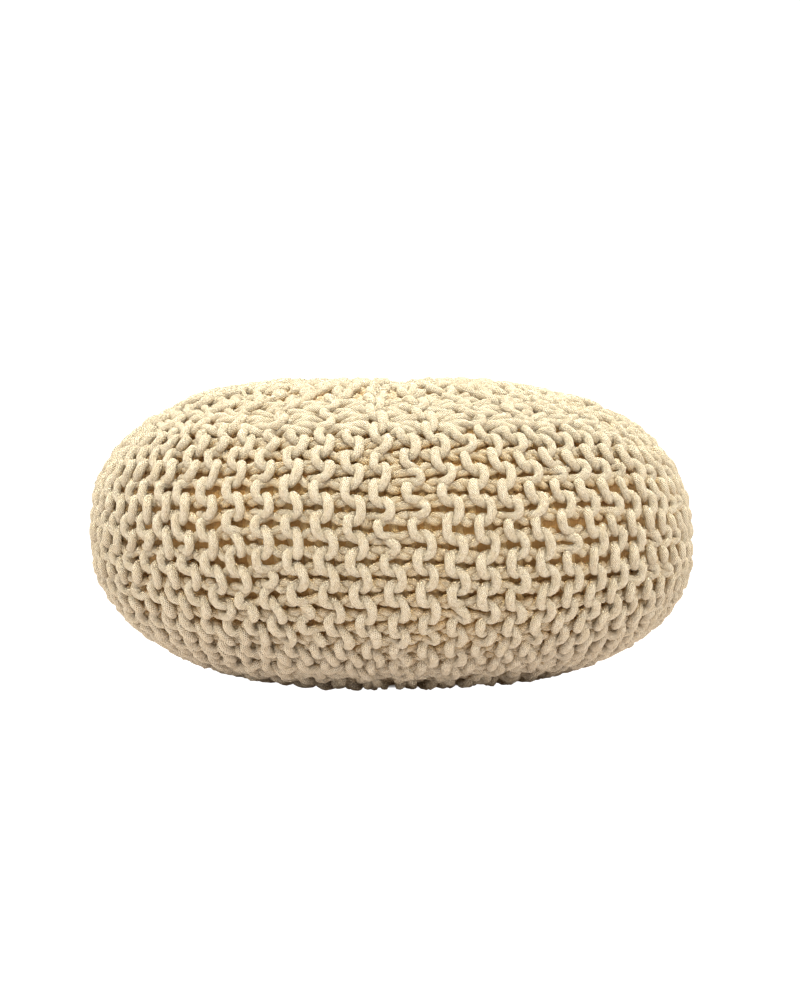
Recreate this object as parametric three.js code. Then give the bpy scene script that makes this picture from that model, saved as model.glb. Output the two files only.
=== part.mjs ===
import * as THREE from 'three';

// A hand-knitted floor pouf: a filled inner bag, and over it a thick cover knitted sideways in garter
// stitch from cotton cord. The rows run from the top centre down the side to the bottom centre, where
// their ends are drawn together. Millimetres, +Z up, the origin at the middle of the resting face.

// Outline of the filled pouf, measured over the tops of the ridges
const RADIUS = 300;
const EQUATOR_HEIGHT = 136;
const CROWN_RISE = 166;
const CROWN_SQUARENESS = 2.78;
const UNDERSIDE_DROP = 148;
const UNDERSIDE_SQUARENESS = 2.26;
const DIMPLE_DEPTH = 14;
const DIMPLE_RADIUS = 40;

// A soft crease across the crown, and the sideways lean of the crown over the base
const CREASE_DEPTH = 4;
const CREASE_X = 8;
const CREASE_WIDTH = 20;
const CREASE_FROM_HEIGHT = 250;
const CROWN_LEAN = -5;

// The knit: its thickness from ridge top to back, the hole left by the drawn-in top, and its stitches
const KNIT_THICKNESS = 25;
const GATHER_RADIUS = 22;
const STITCH_PITCH = 34.2;
const RIDGE_WIDTH = 18;
const NARROWEST_VALLEY_SHARE = 0.24;
const ZIGZAG = 4;
const WIDEST_ZIGZAG_SHARE = 0.14;
const WANDER = 1.6;
const CLEARANCE = 0.3;

// Zones of the knit from the top centre down to the rim of the flat resting face. Short rows turn back
// where zones meet, so only every second ridge runs on towards a centre. Each stitch of the side has a
// gap, which takes this share of its length, and then a rung.
const ZONES = [
  { place: 'top gather', ridges: 16, stitches: 3, valleyDepth: 7, gapShare: 0 },
  { place: 'top', ridges: 32, stitches: 4, valleyDepth: 12, gapShare: 0 },
  { place: 'side', ridges: 64, stitches: 7, valleyDepth: 15, gapShare: 0.46 },
  { place: 'underside', ridges: 32, stitches: 4, valleyDepth: 12, gapShare: 0 },
];

// The stitches, counted from the top gather, whose gaps are wide enough to show the bag
const FIRST_OPEN_STITCH = 9;
const LAST_OPEN_STITCH = 12;

// Round divisions of the bag and of the closed parts of the cover's lining side
const LINING_SIDES = 32;

// Points of one ridge in a ring: its crest and the two edges of the valley after it
const RIDGE_POINTS = 3;
const VALLEY_START = 1;
const VALLEY_END = 2;

const COTTON_COLOUR = 0xe6d6b2;
const BAG_COLOUR = 0xc9ae86;
const FULL_TURN = 2 * Math.PI;
const STITCH_COUNT = ZONES.reduce((sum, zone) => sum + zone.stitches, 0);

// Half of the pouf's section, from the top centre over the crown and the side to the bottom centre. The
// crown and the underside are rounded squares, and the underside is pressed flat where it stands.
class Meridian extends THREE.Curve {
  constructor() {
    super();
    this.arcLengthDivisions = 1500;
    this.floorAngle = Math.asin((EQUATOR_HEIGHT / UNDERSIDE_DROP) ** (UNDERSIDE_SQUARENESS / 2));
    this.floorRadius = this.underside(this.floorAngle).x;
  }

  crown(angle) {
    const radius = RADIUS * Math.max(0, Math.cos(angle)) ** (2 / CROWN_SQUARENESS);
    const rise = CROWN_RISE * Math.sin(angle) ** (2 / CROWN_SQUARENESS);
    const dimple = DIMPLE_DEPTH * Math.exp(-((radius / DIMPLE_RADIUS) ** 2));
    return new THREE.Vector2(radius, EQUATOR_HEIGHT + rise - dimple);
  }

  underside(angle) {
    const radius = RADIUS * Math.cos(angle) ** (2 / UNDERSIDE_SQUARENESS);
    const drop = UNDERSIDE_DROP * Math.sin(angle) ** (2 / UNDERSIDE_SQUARENESS);
    return new THREE.Vector2(radius, EQUATOR_HEIGHT - drop);
  }

  getPoint(t, target = new THREE.Vector2()) {
    const stretch = t * 3;
    if (stretch <= 1) {
      return target.copy(this.crown((1 - stretch) * Math.PI / 2));
    }
    if (stretch <= 2) {
      return target.copy(this.underside((stretch - 1) * this.floorAngle));
    }
    return target.set(this.floorRadius * (3 - stretch), 0);
  }
}

const meridian = new Meridian();
const meridianLength = meridian.getLength();

// The point at a length down the section and an angle round it, sunk by a depth below the ridge tops
function knitPoint(length, angle, depth) {
  const share = THREE.MathUtils.clamp(length / meridianLength, 0, 1);
  const at = meridian.getPointAt(share);
  const along = meridian.getTangentAt(share);
  const radius = at.x + depth * along.y;
  const height = at.y - depth * along.x;
  const lean = CROWN_LEAN * Math.max(0, height - EQUATOR_HEIGHT) / CROWN_RISE;
  const x = radius * Math.cos(angle) + lean;
  const crown = THREE.MathUtils.smoothstep(height, CREASE_FROM_HEIGHT, EQUATOR_HEIGHT + CROWN_RISE);
  const crease = CREASE_DEPTH * crown * Math.exp(-(((x - CREASE_X) / CREASE_WIDTH) ** 2));
  return new THREE.Vector3(x, radius * Math.sin(angle), height - crease);
}

// How far a hand-knitted ridge strays to one side of its even place
function wander(ridgeAngle, length) {
  const slow = Math.sin(7 * ridgeAngle + length / 90);
  const quick = Math.sin(23 * ridgeAngle - length / 45);
  return WANDER * (slow + quick) / 2;
}

// The stations down the section where the knit has a ring of points. A border between two zones takes
// the zone with more ridges, and each stitch of the side has a second station below its gap. The crests
// swing to one side at one station and to the other side at the next.
function knitStations() {
  const stations = [];
  let stitch = 0;
  ZONES.forEach((zone, place) => {
    const above = place > 0 ? ZONES[place - 1].ridges : 0;
    const below = place + 1 < ZONES.length ? ZONES[place + 1].ridges : 0;
    for (let row = 0; row <= zone.stitches; row += 1) {
      const length = GATHER_RADIUS + (stitch + row) * STITCH_PITCH;
      const leftToAbove = row === 0 && above > zone.ridges;
      const leftToBelow = row === zone.stitches && below > zone.ridges;
      if (!leftToAbove && !leftToBelow) {
        stations.push({ length, zone, stitch: stitch + row });
      }
      if (zone.gapShare && row < zone.stitches) {
        const gapEnd = length + zone.gapShare * STITCH_PITCH;
        stations.push({ length: gapEnd, zone, stitch: stitch + row + zone.gapShare });
      }
    }
    stitch += zone.stitches;
  });
  return stations.map((station, order) => ({ ...station, swing: order % 2 ? -1 : 1 }));
}

// One ring round the ridges: for each ridge its crest, then the two edges of the valley after it. The
// ridges keep their width, so the valleys take what is left. The last ring is the rim of the flat face.
function ridgeRing({ length, zone, stitch, swing }) {
  const pitch = FULL_TURN / zone.ridges;
  const radius = meridian.getPointAt(length / meridianLength).x;
  const zigzag = Math.min(ZIGZAG / radius, WIDEST_ZIGZAG_SHARE * pitch) * swing;
  const halfValley = Math.max(pitch - RIDGE_WIDTH / radius, NARROWEST_VALLEY_SHARE * pitch) / 2;
  const valleyDepth = stitch === STITCH_COUNT ? 0 : zone.valleyDepth;
  const ring = [];
  for (let ridge = 0; ridge < zone.ridges; ridge += 1) {
    const even = ridge * pitch;
    const stray = wander(even, length) * Math.min(1 / radius, pitch / RIDGE_WIDTH);
    const valley = even + pitch / 2 + stray;
    ring.push({ angle: even + zigzag + stray, depth: 0, length });
    ring.push({ angle: valley - halfValley, depth: valleyDepth, length });
    ring.push({ angle: valley + halfValley, depth: valleyDepth, length });
  }
  return ring;
}

// The lining side of the knit behind a ring with gaps: only the edges of the valleys, at full depth
function valleyEdgesBehind(ring) {
  const edges = ring.filter((point, column) => column % RIDGE_POINTS > 0);
  return edges.map((point) => ({ ...point, depth: KNIT_THICKNESS }));
}

function plainRing(length, depth) {
  const ring = [];
  for (let side = 0; side < LINING_SIDES; side += 1) {
    ring.push({ angle: side * FULL_TURN / LINING_SIDES, depth, length });
  }
  return ring;
}

// A closed surface that is gathered ring by ring, each ring lying below the one before
class Skin {
  constructor() {
    this.positions = [];
    this.faces = [];
  }

  addPoint({ length, angle, depth }) {
    const place = knitPoint(length, angle, depth);
    this.positions.push(...place.toArray());
    return { index: this.positions.length / 3 - 1, place };
  }

  addRing(ring) {
    return ring.map((point) => this.addPoint(point));
  }

  addFace(a, b, c, inward) {
    this.faces.push(a.index, inward ? c.index : b.index, inward ? b.index : c.index);
  }

  // Joins two rings of equal count by quads, split along their shorter diagonals, and leaves out the
  // columns that are open
  joinEven(upper, lower, inward, isOpen = () => false) {
    upper.forEach((a, column) => {
      if (isOpen(column)) {
        return;
      }
      const next = (column + 1) % upper.length;
      const [b, c, d] = [lower[column], lower[next], upper[next]];
      if (a.place.distanceTo(c.place) <= b.place.distanceTo(d.place)) {
        this.addFace(a, b, c, inward);
        this.addFace(a, c, d, inward);
      } else {
        this.addFace(a, b, d, inward);
        this.addFace(b, c, d, inward);
      }
    });
  }

  // Joins two rings of unlike count, always stepping on along the ring that gives the shorter new edge
  joinUneven(upper, lower, inward) {
    let above = 0;
    let below = 0;
    while (above < upper.length || below < lower.length) {
      const a = upper[above % upper.length];
      const b = lower[below % lower.length];
      const aNext = upper[(above + 1) % upper.length];
      const bNext = lower[(below + 1) % lower.length];
      const belowIsShorter = a.place.distanceTo(bNext.place) < aNext.place.distanceTo(b.place);
      if (above === upper.length || (below < lower.length && belowIsShorter)) {
        this.addFace(a, b, bNext, inward);
        below += 1;
      } else {
        this.addFace(a, b, aNext, inward);
        above += 1;
      }
    }
  }

  join(upper, lower, inward) {
    if (upper.length === lower.length) {
      this.joinEven(upper, lower, inward);
    } else {
      this.joinUneven(upper, lower, inward);
    }
  }

  closeTop(ring, centre, inward) {
    ring.forEach((corner, column) => {
      this.addFace(centre, corner, ring[(column + 1) % ring.length], inward);
    });
  }

  closeBottom(ring, centre, inward) {
    ring.forEach((corner, column) => {
      this.addFace(corner, centre, ring[(column + 1) % ring.length], inward);
    });
  }

  // The four walls of a gap, from its edge on the outside to its edge on the lining side
  wallGap(outside, inside) {
    outside.forEach((corner, side) => {
      const next = (side + 1) % outside.length;
      this.addFace(corner, outside[next], inside[next], false);
      this.addFace(corner, inside[next], inside[side], false);
    });
  }

  toGeometry() {
    const geometry = new THREE.BufferGeometry();
    geometry.setAttribute('position', new THREE.Float32BufferAttribute(this.positions, 3));
    geometry.setIndex(this.faces);
    geometry.computeVertexNormals();
    return geometry;
  }
}

// The knitted cover: ridges with a zigzag crest outside, a smooth lining side, and gaps through the
// floors of the valleys where the knit is stretched most.
function knittedCover() {
  const skin = new Skin();
  const rows = knitStations().map((station) => {
    const ring = ridgeRing(station);
    const open = station.stitch >= FIRST_OPEN_STITCH && station.stitch <= LAST_OPEN_STITCH + 1;
    const whole = Number.isInteger(station.stitch);
    let behind = null;
    if (open) {
      behind = valleyEdgesBehind(ring);
    } else if (whole) {
      behind = plainRing(station.length, KNIT_THICKNESS);
    }
    const gapBelow = open && whole && station.stitch <= LAST_OPEN_STITCH;
    return { outside: skin.addRing(ring), inside: behind && skin.addRing(behind), gapBelow };
  });

  rows.slice(1).forEach((lower, index) => {
    const upper = rows[index];
    if (!upper.gapBelow) {
      skin.join(upper.outside, lower.outside, false);
      return;
    }
    skin.joinEven(upper.outside, lower.outside, false, (column) => column % RIDGE_POINTS === VALLEY_START);
    skin.joinEven(upper.inside, lower.inside, true, (column) => column % 2 === 0);
    for (let ridge = 0; ridge < upper.outside.length / RIDGE_POINTS; ridge += 1) {
      const start = RIDGE_POINTS * ridge + VALLEY_START;
      const end = RIDGE_POINTS * ridge + VALLEY_END;
      const behind = 2 * ridge;
      skin.wallGap(
        [upper.outside[start], lower.outside[start], lower.outside[end], upper.outside[end]],
        [upper.inside[behind], lower.inside[behind], lower.inside[behind + 1], upper.inside[behind + 1]],
      );
    }
  });

  const lined = rows.filter((row) => row.inside);
  lined.slice(1).forEach((lower, index) => {
    if (!lined[index].gapBelow) {
      skin.join(lined[index].inside, lower.inside, true);
    }
  });

  const top = { length: 0, angle: 0 };
  const bottom = { length: meridianLength, angle: 0 };
  const last = rows.length - 1;
  skin.closeTop(rows[0].outside, skin.addPoint({ ...top, depth: 0 }), false);
  skin.closeBottom(rows[last].outside, skin.addPoint({ ...bottom, depth: 0 }), false);
  skin.closeTop(rows[0].inside, skin.addPoint({ ...top, depth: KNIT_THICKNESS }), true);
  skin.closeBottom(rows[last].inside, skin.addPoint({ ...bottom, depth: KNIT_THICKNESS }), true);
  return skin.toGeometry();
}

// The filled bag: it takes the form of the cover's lining side, a little clear of it all round
function innerBag() {
  const skin = new Skin();
  const depth = KNIT_THICKNESS + CLEARANCE;
  const rings = [];
  for (let stitch = 0; stitch <= STITCH_COUNT; stitch += 1) {
    rings.push(skin.addRing(plainRing(GATHER_RADIUS + stitch * STITCH_PITCH, depth)));
  }
  rings.slice(1).forEach((lower, index) => skin.joinEven(rings[index], lower, false));
  skin.closeTop(rings[0], skin.addPoint({ length: 0, angle: 0, depth }), false);
  skin.closeBottom(rings[STITCH_COUNT], skin.addPoint({ length: meridianLength, angle: 0, depth }), false);
  return skin.toGeometry();
}

function namedMesh(name, geometry, colour) {
  const material = new THREE.MeshStandardMaterial({ color: colour, roughness: 0.95, metalness: 0 });
  const mesh = new THREE.Mesh(geometry, material);
  mesh.name = name;
  return mesh;
}

const pouf = new THREE.Group();
pouf.add(namedMesh('inner_bag', innerBag(), BAG_COLOUR));
pouf.add(namedMesh('knitted_cover', knittedCover(), COTTON_COLOUR));

export default pouf;
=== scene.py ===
import itertools
import math

import bpy
import numpy as np
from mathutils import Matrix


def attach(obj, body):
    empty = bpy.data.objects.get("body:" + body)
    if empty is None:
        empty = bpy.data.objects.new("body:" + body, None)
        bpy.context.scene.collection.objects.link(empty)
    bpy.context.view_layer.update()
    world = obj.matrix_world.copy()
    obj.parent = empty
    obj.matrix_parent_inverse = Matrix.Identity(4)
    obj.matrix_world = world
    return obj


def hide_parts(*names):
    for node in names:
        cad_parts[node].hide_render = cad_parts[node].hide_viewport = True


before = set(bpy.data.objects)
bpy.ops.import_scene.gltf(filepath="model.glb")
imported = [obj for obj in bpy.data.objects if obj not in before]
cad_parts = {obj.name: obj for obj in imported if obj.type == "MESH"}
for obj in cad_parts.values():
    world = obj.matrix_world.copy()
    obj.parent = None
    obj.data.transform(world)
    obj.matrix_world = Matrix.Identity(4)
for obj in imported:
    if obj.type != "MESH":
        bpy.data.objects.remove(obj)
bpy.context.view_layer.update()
bpy.ops.object.select_all(action="DESELECT")


# The filled bag: a round bag sewn from plain tan cotton cloth and stuffed until it is firm. It lies
# inside the cover and shows only in the gaps between the stitches. The filling presses its cloth
# outwards, so the bag swells from its plain shape, and the backs of the stitches sink into it.
BAG_VOXEL = 0.018
BAG_SWELL = 0.0088
BAG_MOST_BULGE = 0.0015
BAG_PRESSURE = 4.0
BAG_SETTLING_FRAMES = 20
MERGE_DISTANCE = 0.00005
TINY_LENGTH = 1e-9


def apply_modifier(piece, kind, **settings):
    modifier = piece.modifiers.new(kind.lower(), kind)
    for name, value in settings.items():
        setattr(modifier, name, value)
    bpy.context.view_layer.objects.active = piece
    bpy.ops.object.modifier_apply(modifier=modifier.name)


def points_of(piece):
    flat = np.empty(len(piece.data.vertices) * 3)
    piece.data.vertices.foreach_get("co", flat)
    return flat.reshape(-1, 3)


def copy_of_node(node, name):
    piece = bpy.data.objects.new(name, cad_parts[node].data.copy())
    bpy.context.scene.collection.objects.link(piece)
    piece.data.materials.clear()
    bpy.context.view_layer.objects.active = piece
    piece.select_set(True)
    bpy.ops.object.mode_set(mode="EDIT")
    bpy.ops.mesh.select_all(action="SELECT")
    bpy.ops.mesh.remove_doubles(threshold=MERGE_DISTANCE)
    bpy.ops.object.mode_set(mode="OBJECT")
    return piece


def blow_up(piece, pressure, most, frames):
    start = points_of(piece)
    cloth = piece.modifiers.new("cloth", "CLOTH")
    cloth.settings.use_pressure = True
    cloth.settings.uniform_pressure_force = pressure
    cloth.settings.effector_weights.gravity = 0
    cloth.point_cache.frame_end = frames
    for number in range(1, frames + 1):
        bpy.context.scene.frame_set(number)
    bpy.context.view_layer.objects.active = piece
    bpy.ops.object.modifier_apply(modifier=cloth.name)
    bpy.context.scene.frame_set(1)
    moved = points_of(piece) - start
    length = np.linalg.norm(moved, axis=1, keepdims=True)
    held = start + moved * np.minimum(1, most / np.maximum(length, TINY_LENGTH))
    piece.data.vertices.foreach_set("co", held.ravel())
    piece.data.update()


bag = copy_of_node("inner_bag", "filled_bag")
apply_modifier(bag, "REMESH", mode="VOXEL", voxel_size=BAG_VOXEL)
apply_modifier(bag, "DISPLACE", strength=BAG_SWELL, mid_level=0)
blow_up(bag, BAG_PRESSURE, BAG_MOST_BULGE, BAG_SETTLING_FRAMES)
apply_modifier(bag, "SUBSURF", levels=1, render_levels=1)
bpy.ops.object.shade_smooth()


class Value:
    """One output of a finish's nodes. Sums and products of values add Math nodes."""

    def __init__(self, finish, socket):
        self.finish = finish
        self.socket = socket

    def math(self, operation, first, second=0.0):
        return self.finish.node("ShaderNodeMath", {"operation": operation}, {0: first, 1: second})

    def __add__(self, other):
        return self.math("ADD", self, other)

    def __sub__(self, other):
        return self.math("SUBTRACT", self, other)

    def __rsub__(self, other):
        return self.math("SUBTRACT", other, self)

    def __mul__(self, other):
        return self.math("MULTIPLY", self, other)

    __radd__ = __add__
    __rmul__ = __mul__

    def wave(self):
        return self.math("SINE", self) * 0.5 + 0.5

    def between(self, low, high):
        settings = {"interpolation_type": "SMOOTHSTEP"}
        return self.finish.node("ShaderNodeMapRange", settings, {0: self, 1: low, 2: high})


class Finish:
    """A material that is put together node by node round one shader."""

    def __init__(self, name, **constants):
        self.material = bpy.data.materials.new(name)
        self.material.use_nodes = True
        self.tree = self.material.node_tree
        self.shader = self.tree.nodes["Principled BSDF"]
        for socket, value in constants.items():
            self.shader.inputs[socket.replace("_", " ")].default_value = value

    def node(self, kind, settings=(), inputs=(), output=0):
        node = self.tree.nodes.new(kind)
        for name, value in dict(settings).items():
            setattr(node, name, value)
        for name, value in dict(inputs).items():
            self.feed(node.inputs[name], value)
        return Value(self, node.outputs[output])

    def feed(self, socket, value):
        if isinstance(value, Value):
            self.tree.links.new(value.socket, socket)
        else:
            socket.default_value = value

    def noise(self, place, scale, detail=2.0, roughness=0.5):
        inputs = {"Vector": place, "Scale": scale, "Detail": detail, "Roughness": roughness}
        return self.node("ShaderNodeTexNoise", {}, inputs)

    def mix(self, share, first, second):
        return self.node("ShaderNodeMix", {"data_type": "RGBA"}, {0: share, 6: first, 7: second}, 2)

    def parts(self, vector):
        node = self.tree.nodes.new("ShaderNodeSeparateXYZ")
        self.feed(node.inputs[0], vector)
        return [Value(self, socket) for socket in node.outputs]

    def wear(self, colour, roughness, height, depth):
        bump = self.node("ShaderNodeBump", {}, {"Height": height, "Distance": depth, "Strength": 1.0})
        self.feed(self.shader.inputs["Base Color"], colour)
        self.feed(self.shader.inputs["Roughness"], roughness)
        self.feed(self.shader.inputs["Normal"], bump)


# The bag's cloth: two sets of even threads, each going over and under the other, darker in random blotches
# and painted darker where the threads dip, as painted shade in the weave's hollows
BAG_TAN = (0.56, 0.32, 0.105, 1)
BAG_DARK_TONE_AND_HOLLOW_SHADE = (0.44, 0.245, 0.072, 1)
BAG_THREADS_PER_METRE = 900
BAG_UPRIGHT_THREADS = 0.5
BAG_BLOTCH_SCALE = 30
BAG_BLOTCH_SHARE = 0.6
BAG_PAINTED_HOLLOW_SHADE_SHARE = 0.3
BAG_ROUGHNESS = 0.9
BAG_ROUGHER = 0.08
BAG_THREAD_DEPTH = 0.0004
BAG_SHEEN = 0.15


def bag_cloth():
    finish = Finish("bag_cloth", Sheen_Weight=BAG_SHEEN)
    place = finish.node("ShaderNodeTexCoord", output="Object")
    turn = 2 * math.pi * BAG_THREADS_PER_METRE / 2
    across, along, up = finish.parts(place)
    level = (across * turn).wave() * (along * turn).wave()
    threads = level + (up * turn).wave() * BAG_UPRIGHT_THREADS
    blotch = finish.noise(place, BAG_BLOTCH_SCALE)
    # Random darker blotches, plus painted shade: the cloth is darker where its threads lie low
    colour = finish.mix(blotch * BAG_BLOTCH_SHARE + threads * BAG_PAINTED_HOLLOW_SHADE_SHARE, BAG_DARK_TONE_AND_HOLLOW_SHADE, BAG_TAN)
    finish.wear(colour, BAG_ROUGHNESS + blotch * BAG_ROUGHER, threads, BAG_THREAD_DEPTH)
    return finish.material


bag.data.materials.append(bag_cloth())
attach(bag, "root")
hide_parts("inner_bag")


# The knitted cover: one length of thick cotton cord in garter stitch, knitted sideways. Its rows run
# from the top centre to the bottom centre and come in pairs, each pair with a ridge of stitches outside.
# Short rows make the form: only some ridges reach the centres, so the cover is knitted in equal wedges.
RADIUS = 0.300
EQUATOR_HEIGHT = 0.136
CROWN_RISE = 0.166
CROWN_SQUARENESS = 2.66
UNDERSIDE_DROP = 0.148
UNDERSIDE_SQUARENESS = 2.30
DIMPLE_DEPTH = 0.014
DIMPLE_RADIUS = 0.040
CREASE_DEPTH = 0.004
CREASE_X = 0.008
CREASE_WIDTH = 0.020
CREASE_FROM_HEIGHT = 0.250
CROWN_LEAN = -0.005
BASE_LEAN = 0.004
BASE_SOFTNESS = 0.010
SECTION_STEP = 0.001
SECTION_POINTS = 2000
BELL_REACH = 3


def section_points():
    """Half of the pouf's section over the ridge tops: length down it, radius and height."""
    floor_turn = math.asin((EQUATOR_HEIGHT / UNDERSIDE_DROP) ** (UNDERSIDE_SQUARENESS / 2))
    crown = np.linspace(math.pi / 2, 0, SECTION_POINTS)
    under = np.linspace(0, floor_turn, SECTION_POINTS)
    crown_radius = RADIUS * np.clip(np.cos(crown), 0, 1) ** (2 / CROWN_SQUARENESS)
    crown_height = EQUATOR_HEIGHT + CROWN_RISE * np.sin(crown) ** (2 / CROWN_SQUARENESS)
    crown_height -= DIMPLE_DEPTH * np.exp(-((crown_radius / DIMPLE_RADIUS) ** 2))
    under_radius = RADIUS * np.cos(under) ** (2 / UNDERSIDE_SQUARENESS)
    under_height = EQUATOR_HEIGHT - UNDERSIDE_DROP * np.sin(under) ** (2 / UNDERSIDE_SQUARENESS)
    radius = np.concatenate([crown_radius, under_radius, [0]])
    height = np.concatenate([crown_height, under_height, [0]])
    length = np.concatenate([[0], np.cumsum(np.hypot(np.diff(radius), np.diff(height)))])
    even = np.arange(0, length[-1], SECTION_STEP)
    return even, np.interp(even, length, radius), np.interp(even, length, height)


def softened(values, softness):
    """Values along the section with their corners rounded off."""
    reach = int(BELL_REACH * softness / SECTION_STEP)
    weight = np.exp(-0.5 * (np.arange(-reach, reach + 1) * SECTION_STEP / softness) ** 2)
    first = 2 * values[0] - values[reach:0:-1]
    last = 2 * values[-1] - values[-2:-reach - 2:-1]
    return np.convolve(np.concatenate([first, values, last]), weight / weight.sum(), "valid")


section_length, section_radius, section_height = section_points()
section_radius = softened(section_radius, BASE_SOFTNESS)
section_height = softened(section_height, BASE_SOFTNESS)
section_outward = np.gradient(section_radius, SECTION_STEP)
section_downward = np.gradient(section_height, SECTION_STEP)
whole_length = section_length[-1]
equator_length = section_length[np.argmax(section_radius)]


def along_section(values, run):
    return np.interp(run, section_length, values)


def smooth_step(value, low, high):
    share = np.clip((value - low) / (high - low), 0, 1)
    return share * share * (3 - 2 * share)


def lay(run, angle, depth):
    """The place at a length down the section, an angle round it and a depth below the ridge tops."""
    outward = along_section(section_outward, run)
    downward = along_section(section_downward, run)
    radius = along_section(section_radius, run) + depth * downward
    height = along_section(section_height, run) - depth * outward
    lean = CROWN_LEAN * np.maximum(0, height - EQUATOR_HEIGHT) / CROWN_RISE
    lean = lean + BASE_LEAN * np.maximum(0, EQUATOR_HEIGHT - height) / UNDERSIDE_DROP
    x = radius * np.cos(angle) + lean
    crown = smooth_step(height, CREASE_FROM_HEIGHT, EQUATOR_HEIGHT + CROWN_RISE)
    crease = CREASE_DEPTH * crown * np.exp(-(((x - CREASE_X) / CREASE_WIDTH) ** 2))
    return np.stack([x, radius * np.sin(angle), height - crease], axis=-1)


# The stitches. A ridge's front bars lie on its own line, in turn to the left and the right of it, and
# its back bars on the lines halfway to the next ridges, with short slanting legs between the two.
CORD = 0.0089
STITCH_PITCH = 0.0342
BAR_SIDEWAYS = 0.0068
WIDEST_BAR_SHARE = 0.22
FRONT_DEPTH = 0.5 * CORD
BACK_DEPTH = 2.25 * CORD
STRETCHED_BACK_DEPTH = 1.20 * CORD
STRETCH_FROM = 0.031
STRETCH_FULL = 0.042
GATHER_RADIUS = 0.022
SWIRL = 0.078
TURN_REACH = 0.15 * STITCH_PITCH
MOST_RIDGES = 64
RIDGES_PER_WEDGE = 8
ZONES = [
    {"place": "top centre", "ridges": 8, "stitches": 1},
    {"place": "inner top", "ridges": 16, "stitches": 2},
    {"place": "outer top", "ridges": 32, "stitches": 4},
    {"place": "side", "ridges": 64, "stitches": 8},
    {"place": "outer underside", "ridges": 32, "stitches": 3},
    {"place": "inner underside", "ridges": 16, "stitches": 2},
    {"place": "bottom centre", "ridges": 8, "stitches": 1},
]
RIDGES_AT = [zone["ridges"] for zone in ZONES for _ in range(zone["stitches"])]

# Half of one loop of cord in two parts, its feet and its head, on the front and on the back of the knit:
# the place along the row in stitches, the place beside the line in bar offsets, the sink in cord widths
# and how thick the squeezed cord is there, each where the knit is easy and where it is stretched sideways.
# Lap is how far the bar's upper end tucks in and its lower end laps over, in cord widths, where it does.
PAIRS = ("along", "beside", "sink", "girth")
FRONT_FEET = [
    {"along": (-0.500, -0.500), "beside": (-1.00, -0.66), "sink": (0.00, 0.00), "girth": (1.00, 1.00)},
    {"along": (-0.385, -0.400), "beside": (-0.98, -0.65), "sink": (0.00, 0.00), "girth": (1.00, 1.00)},
    {"along": (-0.300, -0.310), "beside": (-0.78, -0.52), "sink": (0.15, 0.15), "girth": (0.98, 0.98),
     "lap": -0.08},
    {"along": (-0.225, -0.235), "beside": (0.05, 0.05), "sink": (0.60, 0.42), "girth": (0.90, 0.96),
     "lap": -0.20},
    {"along": (-0.200, -0.215), "beside": (1.05, 1.20), "sink": (0.85, 0.45), "girth": (0.83, 0.98)},
]
BACK_HEAD = [
    {"along": (-0.255, -0.285), "beside": (-0.75, -1.60), "sink": (1.02, 0.40), "girth": (0.82, 1.00)},
    {"along": (-0.325, -0.355), "beside": (0.00, -0.20), "sink": (0.90, 0.40), "girth": (0.82, 1.00)},
    {"along": (-0.290, -0.335), "beside": (0.55, 1.00), "sink": (0.60, 0.20), "girth": (0.92, 0.98)},
    {"along": (-0.150, -0.170), "beside": (0.98, 1.70), "sink": (0.00, 0.00), "girth": (1.00, 1.00)},
    {"along": (0.000, 0.000), "beside": (1.08, 1.85), "sink": (0.00, 0.00), "girth": (1.00, 1.00)},
]
BACK_FEET = [
    {"along": (-0.500, -0.500), "beside": (-1.05, -1.85), "sink": (0.00, 0.00), "girth": (1.00, 1.00)},
    {"along": (-0.350, -0.350), "beside": (-0.98, -1.70), "sink": (0.00, 0.00), "girth": (1.00, 1.00)},
    {"along": (-0.225, -0.170), "beside": (-0.45, -1.00), "sink": (0.60, 0.20), "girth": (0.92, 0.98)},
    {"along": (-0.170, -0.145), "beside": (0.20, 0.20), "sink": (0.92, 0.40), "girth": (0.82, 1.00)},
    {"along": (-0.185, -0.195), "beside": (0.85, 1.60), "sink": (1.08, 0.42), "girth": (0.82, 1.00)},
]
FRONT_HEAD = [
    {"along": (-0.225, -0.235), "beside": (-1.00, -1.20), "sink": (0.85, 0.45), "girth": (0.83, 0.98)},
    {"along": (-0.280, -0.285), "beside": (-0.15, -0.15), "sink": (0.64, 0.42), "girth": (0.90, 0.96),
     "lap": 0.20},
    {"along": (-0.225, -0.225), "beside": (0.55, 0.42), "sink": (0.22, 0.15), "girth": (0.97, 0.97),
     "lap": 0.08},
    {"along": (-0.110, -0.110), "beside": (0.97, 0.65), "sink": (0.00, 0.00), "girth": (1.00, 1.00)},
    {"along": (0.000, 0.000), "beside": (1.02, 0.68), "sink": (0.00, 0.00), "girth": (1.00, 1.00)},
]


def loop_at(outgoing, stretched):
    """The points of a whole loop in a knit that is stretched by a share from 0 to 1."""
    feet, head = (FRONT_FEET, BACK_HEAD) if outgoing else (BACK_FEET, FRONT_HEAD)
    upper, lower = [], []
    for line, part in (("start", feet), ("end", head)):
        for row in part:
            lap = row.get("lap", 0)
            point = {name: np.interp(stretched, (0, 1), row[name]) for name in PAIRS}
            point["line"] = line
            upper.append({**point, "sink": point["sink"] + lap})
            lower.append({**point, "sink": point["sink"] - lap, "along": -point["along"]})
    return upper + lower[-2:0:-1]


# How unevenly the cord is knitted by hand
SLANT = 0.20
BAR_STRETCH = 0.12
BAR_REACH = 0.14
BAR_RISE = 0.0007
CORD_BULGE = 0.06
CORD_FUZZ = 0.06
DRIFTS = [
    {"cell": 0.036, "along": 0.0018, "beside": 0.0016, "depth": 0.0006},
    {"cell": 0.090, "along": 0.0024, "beside": 0.0024, "depth": 0.0014},
]
LATTICE = 24
HAND_SEED = 11

hand = np.random.default_rng(HAND_SEED)


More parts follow.
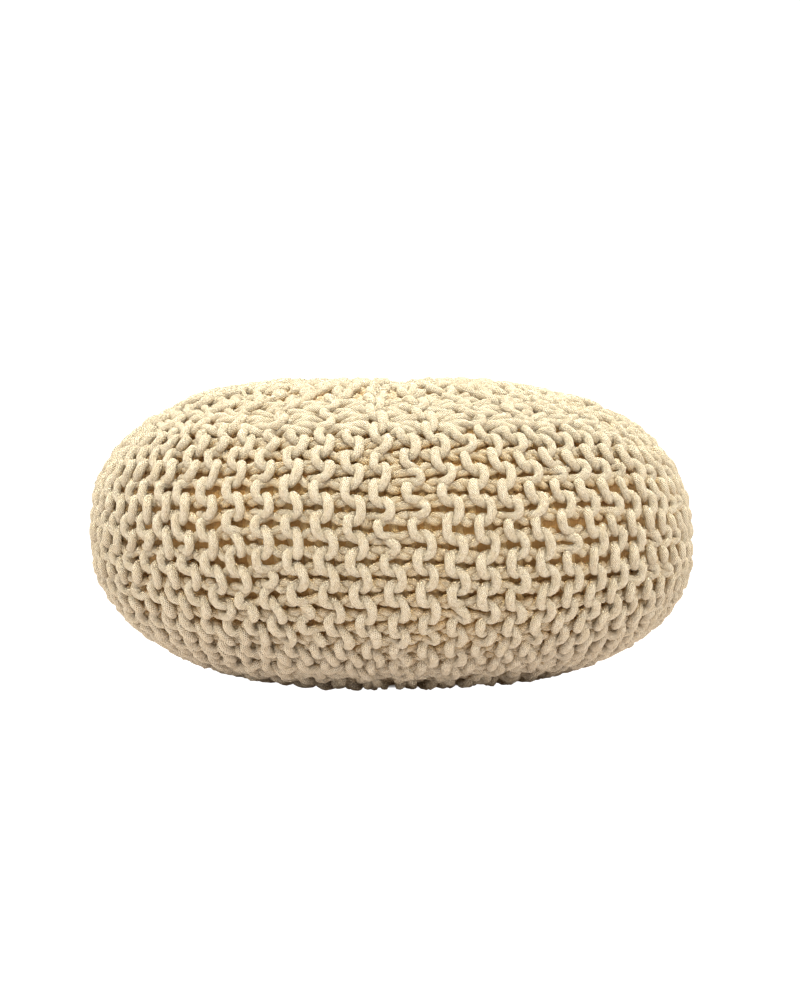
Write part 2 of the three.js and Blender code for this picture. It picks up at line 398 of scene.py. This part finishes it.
def drift(places, cell, lattice):
    """Smooth random shifts, alike for cords that lie near each other."""
    grid = places / cell
    corner = np.floor(grid).astype(int)
    share = grid - corner
    share = share * share * (3 - 2 * share)
    shift = 0
    for step in itertools.product((0, 1), repeat=3):
        weight = np.prod(np.where(step, share, 1 - share), axis=-1, keepdims=True)
        x, y, z = ((corner + step) % LATTICE).T
        shift = shift + weight * lattice[x, y, z]
    return shift


def stitches_of(ridge):
    return [stitch for stitch, count in enumerate(RIDGES_AT) if ridge % (MOST_RIDGES // count) == 0]


def row_points(ridge, outgoing):
    """One row of loops from the top to the bottom: length down the section, angle, depth, girth."""
    middle = 2 * math.pi * ridge / MOST_RIDGES
    stitches = stitches_of(ridge)
    points = []
    for stitch in stitches:
        half_gap = math.pi / RIDGES_AT[stitch]
        run = GATHER_RADIUS + (stitch + 0.5) * STITCH_PITCH
        spacing = 2 * half_gap * along_section(section_radius, run)
        sideways = min(BAR_SIDEWAYS, WIDEST_BAR_SHARE * spacing)
        stretched = smooth_step(spacing, STRETCH_FROM, STRETCH_FULL)
        back_depth = BACK_DEPTH + stretched * (STRETCHED_BACK_DEPTH - BACK_DEPTH)
        radius = max(along_section(section_radius, run), GATHER_RADIUS)
        unevenness = hand.normal(size=4) * (SLANT, BAR_STRETCH, BAR_REACH, BAR_RISE)
        slant, stretch, reach, rise = unevenness
        for point in loop_at(outgoing, stretched):
            at_start = point["line"] == "start"
            on_front = at_start == outgoing
            line = middle
            if not on_front:
                line += half_gap if outgoing else -half_gap
            own_depth, inward = (FRONT_DEPTH, 1) if on_front else (back_depth, -1)
            along = point["along"] * STITCH_PITCH
            beside = point["beside"] * sideways
            depth = own_depth + inward * point["sink"] * CORD
            if not at_start:
                beside = beside * (1 + reach) + slant * along
                along *= 1 + stretch
                depth -= inward * rise
            points.append((run + along, line + beside / radius, depth, point["girth"]))
    return np.array(points)


def ridge_loop(ridge):
    """The cord of one ridge: a row down, a turn at the bottom, the next row up and a turn at the top."""
    down = row_points(ridge, outgoing=False)
    up = row_points(ridge, outgoing=True)[::-1]
    middle = (FRONT_DEPTH + BACK_DEPTH) / 2
    bottom = (down[-1] + up[0]) / 2 + (0.5 * STITCH_PITCH + TURN_REACH, 0, 0, 0)
    top = (down[0] + up[-1]) / 2 - (TURN_REACH, 0, 0, 0)
    bottom[2] = top[2] = middle
    return np.concatenate([down, [bottom], up, [top]])


def uneven(points):
    """The points in space, with the slow drifts of hand knitting and the swirl of the ridges."""
    run, angle, depth, girth = points.T
    angle = angle + SWIRL * (run - equator_length) / RADIUS
    places = lay(run, angle, np.full_like(run, (FRONT_DEPTH + BACK_DEPTH) / 2))
    for kind, lattice in zip(DRIFTS, drift_lattices):
        along, beside, inward = drift(places, kind["cell"], lattice).T
        run = run + along * kind["along"]
        radius = np.maximum(along_section(section_radius, run), GATHER_RADIUS)
        angle = angle + beside * kind["beside"] / radius
        depth = depth + inward * kind["depth"]
    return np.column_stack([lay(run, angle, depth), girth, depth])


drift_lattices = [hand.normal(size=(LATTICE, LATTICE, LATTICE, 3)) for _ in DRIFTS]


# The cord itself: a round soft rope. It is drawn through the points as a smooth line, and the lines are
# pushed apart where they cross, as thick cord does when it is pulled tight.
RING_STEP = 0.0034
FINE_STEPS = 6
CORD_SIDES = 10
SETTLING_ROUNDS = 10
LEAST_DISTANCE = 0.76 * CORD
NEIGHBOUR_RINGS = 5
SMALLEST_GAP = 1e-6
EASING_PASSES = 2
EASING_SHARE = 0.5
DRAWN_RING = 0.012
DRAWN_RING_POINTS = 12
DRAWN_RING_DEPTH = 1.2 * CORD
STRIP_END_MARGIN = 0.002
STRIP_SIDE_MARGIN = 0.04


def smooth_loop(points):
    """A closed smooth line through the points, in even steps."""
    share = np.linspace(0, 1, FINE_STEPS, endpoint=False)[:, None, None]
    before, after, beyond = (np.roll(points, shift, axis=0) for shift in (1, -1, -2))
    fine = points + share / 2 * (
        after - before
        + share * (2 * before - 5 * points + 4 * after - beyond)
        + share ** 2 * (3 * points - before - 3 * after + beyond)
    )
    fine = fine.transpose(1, 0, 2).reshape(-1, points.shape[1])
    fine = np.concatenate([fine, fine[:1]])
    length = np.concatenate([[0], np.cumsum(np.linalg.norm(np.diff(fine[:, :3], axis=0), axis=1))])
    count = int(round(length[-1] / RING_STEP))
    even = np.linspace(0, length[-1], count, endpoint=False)
    return np.stack([np.interp(even, length, fine[:, axis]) for axis in range(points.shape[1])], axis=1)


def close_pairs(points, reach):
    """Pairs of points nearer than a reach, found through a grid of cells as wide as that reach."""
    cells = np.floor((points - points.min(axis=0)) / reach).astype(np.int64) + 1
    span = cells.max(axis=0) + 2
    strides = np.array([span[1] * span[2], span[2], 1])
    keys = cells @ strides
    order = np.argsort(keys, kind="stable")
    keys = keys[order]
    count = len(keys)
    pairs = []
    for step in itertools.product((-1, 0, 1), repeat=3):
        offset = int(np.dot(step, strides))
        if offset < 0:
            continue
        start = np.searchsorted(keys, keys + offset, "left") if offset else np.arange(1, count + 1)
        stop = np.searchsorted(keys, keys + offset, "right")
        sizes = np.maximum(stop - start, 0)
        first = np.repeat(np.arange(count), sizes)
        within = np.arange(sizes.sum()) - np.repeat(np.cumsum(sizes) - sizes, sizes)
        second = np.repeat(start, sizes) + within
        pairs.append(np.stack([order[first], order[second]], axis=1))
    pairs = np.concatenate(pairs)
    gap = np.linalg.norm(points[pairs[:, 0]] - points[pairs[:, 1]], axis=1)
    return pairs[gap < reach]


def settle(points, girth, ring_before, ring_after, loop_of, rank, loop_size):
    """Pushes the cord's lines apart where they lie in each other, in smooth shifts."""
    shift = np.zeros_like(points)
    for _ in range(SETTLING_ROUNDS):
        now = points + shift
        first, second = close_pairs(now, CORD).T
        steps = np.abs(rank[first] - rank[second])
        steps = np.minimum(steps, loop_size[first] - steps)
        apart = (loop_of[first] != loop_of[second]) | (steps > NEIGHBOUR_RINGS)
        first, second = first[apart], second[apart]
        line = now[first] - now[second]
        gap = np.maximum(np.linalg.norm(line, axis=1, keepdims=True), SMALLEST_GAP)
        least = LEAST_DISTANCE * (girth[first] + girth[second])[:, None] / 2
        push = line / gap * np.maximum(least - gap, 0) / 2
        moved = np.zeros_like(points)
        met = np.zeros(len(points))
        for index, way in ((first, push), (second, -push)):
            for axis in range(3):
                moved[:, axis] += np.bincount(index, way[:, axis], len(points))
            met += np.bincount(index, minlength=len(points))
        shift += moved / np.sqrt(np.maximum(met, 1))[:, None]
        for _ in range(EASING_PASSES):
            shift += EASING_SHARE * ((shift[ring_before] + shift[ring_after]) / 2 - shift)
        shift[:, 2] = np.maximum(shift[:, 2], CORD / 2 - points[:, 2])
    return points + shift


def drawn_in_ring(run):
    """The cord that is threaded through the ends of the ridges and pulled tight at a centre."""
    angle = 2 * math.pi * np.arange(DRAWN_RING_POINTS) / DRAWN_RING_POINTS
    level = np.full(DRAWN_RING_POINTS, run)
    places = lay(level, angle, np.full_like(level, DRAWN_RING_DEPTH))
    return np.column_stack([places, np.ones_like(level), np.full_like(level, DRAWN_RING_DEPTH)])


cord_lines = [smooth_loop(uneven(ridge_loop(ridge))) for ridge in range(MOST_RIDGES)]
cord_lines += [smooth_loop(drawn_in_ring(run)) for run in (DRAWN_RING, whole_length - DRAWN_RING)]
loop_sizes = np.array([len(line) for line in cord_lines])
loop_starts = np.cumsum(loop_sizes) - loop_sizes
loop_of_ring = np.repeat(np.arange(len(cord_lines)), loop_sizes)
rank_of_ring = np.arange(loop_sizes.sum()) - loop_starts[loop_of_ring]
size_of_ring = loop_sizes[loop_of_ring]
ring_after = loop_starts[loop_of_ring] + (rank_of_ring + 1) % size_of_ring
ring_before = loop_starts[loop_of_ring] + (rank_of_ring - 1) % size_of_ring
whole_cord = np.concatenate(cord_lines)
girths, depths = whole_cord[:, 3], whole_cord[:, 4]
rings = settle(
    whole_cord[:, :3], girths, ring_before, ring_after, loop_of_ring, rank_of_ring, size_of_ring
)


def outward_at(places):
    """Roughly the way out of the pouf, for turning the cord's rings alike."""
    out = places * (1 / RADIUS ** 2, 1 / RADIUS ** 2, 0)
    above = places[:, 2] - EQUATOR_HEIGHT
    out[:, 2] = above / np.where(above > 0, CROWN_RISE, UNDERSIDE_DROP) ** 2
    return out / np.linalg.norm(out, axis=1, keepdims=True)


def unit(vectors):
    return vectors / np.maximum(np.linalg.norm(vectors, axis=1, keepdims=True), TINY_LENGTH)


def cord_mesh(name, chosen):
    """A mesh of round cord along whole loops, with a map of length and turn on it."""
    middle = rings[chosen]
    along = unit(rings[ring_after[chosen]] - rings[ring_before[chosen]])
    out = outward_at(middle)
    out = unit(out - along * np.sum(out * along, axis=1, keepdims=True))
    side = np.cross(along, out)
    turns = 2 * math.pi * np.arange(CORD_SIDES) / CORD_SIDES
    ring = -np.cos(turns)[:, None] * out[:, None, :] + np.sin(turns)[:, None] * side[:, None, :]
    bulge = hand.normal(size=len(chosen)) * CORD_BULGE
    bulge = (np.roll(bulge, 1) + bulge + np.roll(bulge, -1)) / math.sqrt(3)
    fuzz = hand.normal(size=(len(chosen), CORD_SIDES)) * CORD_FUZZ
    girth = (girths[chosen] + bulge)[:, None] + fuzz
    points = middle[:, None, :] + CORD / 2 * girth[..., None] * ring
    points[..., 2] = np.maximum(points[..., 2], 0)
    depth = depths[chosen][:, None] + CORD / 2 * np.cos(turns)

    here = np.arange(len(chosen))
    after = ring_after[chosen] - chosen[0]
    column = np.arange(CORD_SIDES)
    after_column = (column + 1) % CORD_SIDES
    corners = np.stack([
        here[:, None] * CORD_SIDES + column,
        after[:, None] * CORD_SIDES + column,
        after[:, None] * CORD_SIDES + after_column,
        here[:, None] * CORD_SIDES + after_column,
    ], axis=-1)
    mesh = bpy.data.meshes.new(name)
    mesh.from_pydata(points.reshape(-1, 3).tolist(), [], corners.reshape(-1, 4).tolist())
    mesh.polygons.foreach_set("use_smooth", np.ones(len(mesh.polygons), bool))
    # Depth below the ridge tops, which the finish uses for its painted warm shade deep in the knit
    depth_values = (depth / BACK_DEPTH).astype(np.float32).ravel()
    mesh.attributes.new("depth", "FLOAT", "POINT").data.foreach_set("value", depth_values)

    length = np.stack([here, here + 1, here + 1, here], axis=-1) * RING_STEP / (math.pi * CORD)
    turn = np.stack([column, column, column + 1, column + 1], axis=-1) / CORD_SIDES
    cord_map = np.empty((len(here), CORD_SIDES, 4, 2))
    cord_map[..., 0] = length[:, None, :]
    cord_map[..., 1] = turn[None, :, :]
    mesh.uv_layers.new(name="cord").uv.foreach_set("vector", cord_map.astype(np.float32).ravel())

    strips = int(round(math.sqrt(len(here) * RING_STEP / (math.pi * CORD))))
    per_strip = math.ceil(len(here) / strips)
    strip, place = np.divmod(here, per_strip)
    place = np.stack([place, place + 1, place + 1, place], axis=-1) / per_strip
    flat_map = np.empty_like(cord_map)
    flat_map[..., 0] = STRIP_END_MARGIN + (1 - 2 * STRIP_END_MARGIN) * place[:, None, :]
    within = STRIP_SIDE_MARGIN + (1 - 2 * STRIP_SIDE_MARGIN) * turn[None, :, :]
    flat_map[..., 1] = (strip[:, None, None] + within) / strips
    mesh.uv_layers.new(name="OFBake").uv.foreach_set("vector", flat_map.astype(np.float32).ravel())
    mesh.uv_layers.active_index = 0
    return mesh


# The cord's finish: undyed cotton, twisted from several strands, with fine grey flecks and soft fuzz,
# painted shade in the grooves between the strands and a painted warm shade on the cord deep in the knit
CREAM = (0.58, 0.463, 0.302, 1)
PALE = (0.662, 0.567, 0.414, 1)
# Painted warm shade: the golden-brown colour given to the cord deeper in the knit, standing in for the
# warm light and shade in the gaps
DEEP_PAINTED_WARM_SHADE = (0.84, 0.535, 0.20, 1)
# The dark colour of the flecks, also used for the painted shade in the grooves between the strands
FLECK_AND_GROOVE_SHADE = (0.28, 0.225, 0.145, 1)
SHEEN = (1.0, 0.82, 0.52, 1)
SHEEN_WEIGHT = 0.5
SHEEN_ROUGHNESS = 0.5
STRANDS = 14
NOISES = {
    "fibre": {"scale": 900, "detail": 3},
    "fuzz": {"scale": 330, "detail": 3, "roughness": 0.6},
    "blotch": {"scale": 25},
    "specks": {"scale": 430, "detail": 2, "roughness": 0.6},
    "grains": {"scale": 1000, "detail": 1},
    "mottle": {"scale": 230, "detail": 2},
}
SPECK_EDGE = (0.57, 0.62)
GRAIN_EDGE = (0.54, 0.60)
MOTTLE_EDGE = (0.38, 0.62)
PAINTED_WARM_SHADE_DEPTHS = (0.24, 0.78)
PALE_SHARES = {"blotch": 0.3, "mottle": 0.8, "less": 0.05}
FLECK_AND_GROOVE_SHADE_SHARES = {"specks": 0.40, "grains": 0.12, "painted_groove_shade": 0.08}
FLECKS_AND_GROOVE_SHADE_LOST_IN_WARM_SHADE = 0.7
HEIGHT_SHARES = {"braid": 0.7, "fibre": 0.3, "fuzz": 0.9}
CORD_ROUGHNESS = 0.85
CORD_ROUGHER = 0.1
CORD_RELIEF = 0.0019


def cotton_cord():
    finish = Finish(
        "cotton_cord", Sheen_Weight=SHEEN_WEIGHT, Sheen_Roughness=SHEEN_ROUGHNESS, Sheen_Tint=SHEEN
    )
    place = finish.node("ShaderNodeTexCoord", output="Object")
    cord = finish.node("ShaderNodeUVMap", {"uv_map": "cord"})
    length, turn, _ = finish.parts(cord)
    one_way = ((length + turn) * (2 * math.pi * STRANDS)).wave()
    other_way = ((length - turn) * (2 * math.pi * STRANDS)).wave()
    braid = one_way * other_way
    noise = {name: finish.noise(place, **settings) for name, settings in NOISES.items()}
    specks = noise["specks"].between(*SPECK_EDGE)
    grains = noise["grains"].between(*GRAIN_EDGE)
    mottle = noise["mottle"].between(*MOTTLE_EDGE)
    # The cord is painted golden-brown with its depth below the ridge tops: painted warm shade in the gaps
    # between the stitches, where the flecks mostly fade
    depth = finish.node("ShaderNodeAttribute", {"attribute_name": "depth"}, output="Fac")
    painted_warm_shade_share = depth.between(*PAINTED_WARM_SHADE_DEPTHS)
    pale = noise["blotch"] * PALE_SHARES["blotch"] + mottle * PALE_SHARES["mottle"] - PALE_SHARES["less"]
    outer = finish.mix(pale, CREAM, PALE)
    # Real grey flecks, plus painted shade: the grooves between the strands are darkened where the braid's
    # relief is low
    flecks_and_groove_shade = specks * FLECK_AND_GROOVE_SHADE_SHARES["specks"] + grains * FLECK_AND_GROOVE_SHADE_SHARES["grains"]
    flecks_and_groove_shade = (flecks_and_groove_shade + (1 - braid) * FLECK_AND_GROOVE_SHADE_SHARES["painted_groove_shade"]) * (1 - painted_warm_shade_share * FLECKS_AND_GROOVE_SHADE_LOST_IN_WARM_SHADE)
    colour = finish.mix(flecks_and_groove_shade, finish.mix(painted_warm_shade_share, outer, DEEP_PAINTED_WARM_SHADE), FLECK_AND_GROOVE_SHADE)
    height = braid * HEIGHT_SHARES["braid"] + noise["fibre"] * HEIGHT_SHARES["fibre"]
    height = height + noise["fuzz"] * HEIGHT_SHARES["fuzz"]
    finish.wear(colour, CORD_ROUGHNESS + noise["fibre"] * CORD_ROUGHER, height, CORD_RELIEF)
    return finish.material


cord_finish = cotton_cord()
wedges = MOST_RIDGES // RIDGES_PER_WEDGE
names = [f"knit_wedge_{wedge + 1}" for wedge in range(wedges)] + ["drawn_in_rings"]
for number, name in enumerate(names):
    chosen = np.flatnonzero(loop_of_ring // RIDGES_PER_WEDGE == number)
    piece = bpy.data.objects.new(name, cord_mesh(name, chosen))
    bpy.context.scene.collection.objects.link(piece)
    piece.data.materials.append(cord_finish)
    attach(piece, "root")
    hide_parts("knitted_cover")


# The floor and the light: a white floor whose glow hides the shadows on it, with its glow painted out to
# black close round the pouf's base as a painted shadow, and below the pouf a sheet that the view doesn't
# show, which throws light up from all round it and little from where it stands; soft lights overhead, on
# the crown, from the front and from both sides, and an even white room
FLOOR_SIZE = 6
FLOOR_WHITE = (0.30, 0.30, 0.30, 1)
FLOOR_ROUGHNESS = 0.9
FLOOR_GLOW = 1.0
# The floor's glow fades to black within 0.09 to 0.12 of the centre: a painted shadow close round the
# pouf's base
FLOOR_GLOW_WITH_PAINTED_SHADOW = {"dark_within": 0.09, "bright_from": 0.12, "dark": (0, 0, 0, 1), "bright": (1, 1, 1, 1)}
BOUNCE = {"dark_within": 0.16, "bright_from": 0.25,
          "dark": (0.05, 0.025, 0.01, 1), "bright": (1.14, 1.03, 1.05, 1)}
ROOM_LIGHT = 1.34


def floor_sheet(name, dark_within, bright_from, dark, bright):
    bpy.ops.mesh.primitive_plane_add(size=FLOOR_SIZE)
    sheet = bpy.context.object
    sheet.name = name
    finish = Finish(name, Roughness=FLOOR_ROUGHNESS, Base_Color=FLOOR_WHITE, Emission_Strength=FLOOR_GLOW)
    place = finish.node("ShaderNodeTexCoord", output="Object")
    radius = finish.node("ShaderNodeVectorMath", {"operation": "LENGTH"}, {0: place}, "Value")
    # Glow that is dark near the centre: on the floor a painted shadow, on the hidden sheet less light
    # thrown up
    glow = finish.mix(radius.between(dark_within, bright_from), dark, bright)
    finish.feed(finish.shader.inputs["Emission Color"], glow)
    sheet.data.materials.append(finish.material)
    return sheet


floor = floor_sheet("floor", **FLOOR_GLOW_WITH_PAINTED_SHADOW)
floor.visible_diffuse = floor.visible_glossy = floor.visible_shadow = False
bounce = floor_sheet("bounce", **BOUNCE)
bounce.visible_camera = False

world = bpy.data.worlds.new("room")
world.use_nodes = True
room = world.node_tree.nodes["Background"]
room.inputs["Color"].default_value = (1, 1, 1, 1)
room.inputs["Strength"].default_value = ROOM_LIGHT
bpy.context.scene.world = world


GREENISH_WHITE = (0.97, 1.0, 0.95)
WHITE = (1, 1, 1)
MIDDLE = (0, 0, 0.15)
CAP = (0, 0, 0.34)
LIGHTS = [
    {"name": "overhead", "place": (0.0, -0.6, 2.2), "target": MIDDLE,
     "size": 2.2, "power": 32, "spread": 180, "colour": GREENISH_WHITE},
    {"name": "crown", "place": (0.0, 0.0, 1.5), "target": MIDDLE,
     "size": 1.2, "power": 4.2, "spread": 70, "colour": GREENISH_WHITE},
    {"name": "front", "place": (0.0, -2.2, 1.7), "target": CAP,
     "size": 0.8, "power": 1.38, "spread": 30, "colour": GREENISH_WHITE},
    {"name": "left", "place": (-2.2, -0.2, 0.6), "target": MIDDLE,
     "size": 1.5, "power": 10, "spread": 180, "colour": WHITE},
    {"name": "right", "place": (2.2, -0.2, 0.6), "target": MIDDLE,
     "size": 1.5, "power": 6, "spread": 180, "colour": WHITE},
]


def soft_light(name, place, target, size, power, spread, colour):
    data = bpy.data.lights.new(name, "AREA")
    data.shape = "DISK"
    data.size = size
    data.energy = power
    data.color = colour
    data.spread = math.radians(spread)
    light = bpy.data.objects.new(name, data)
    bpy.context.scene.collection.objects.link(light)
    light.location = place
    across, ahead, up = np.subtract(target, place)
    light.rotation_euler = (math.atan2(math.hypot(across, ahead), -up), 0, math.atan2(-across, ahead))


for light in LIGHTS:
    soft_light(**light)

# The view: from the front, level with the shoulder of the pouf and far off
VIEW_PLACE = (0.007, -2.4, 0.255)
VIEW_DIP_DEGREES = 1.857
VIEW_LENS = 86.1
camera_data = bpy.data.cameras.new("view")
camera_data.lens = VIEW_LENS
camera = bpy.data.objects.new("view", camera_data)
bpy.context.scene.collection.objects.link(camera)
camera.location = VIEW_PLACE
camera.rotation_euler = (math.radians(90 - VIEW_DIP_DEGREES), 0, 0)
bpy.context.scene.camera = camera
bpy.context.scene.view_settings.view_transform = "Standard"
bpy.context.scene.cycles.denoising_prefilter = "NONE"
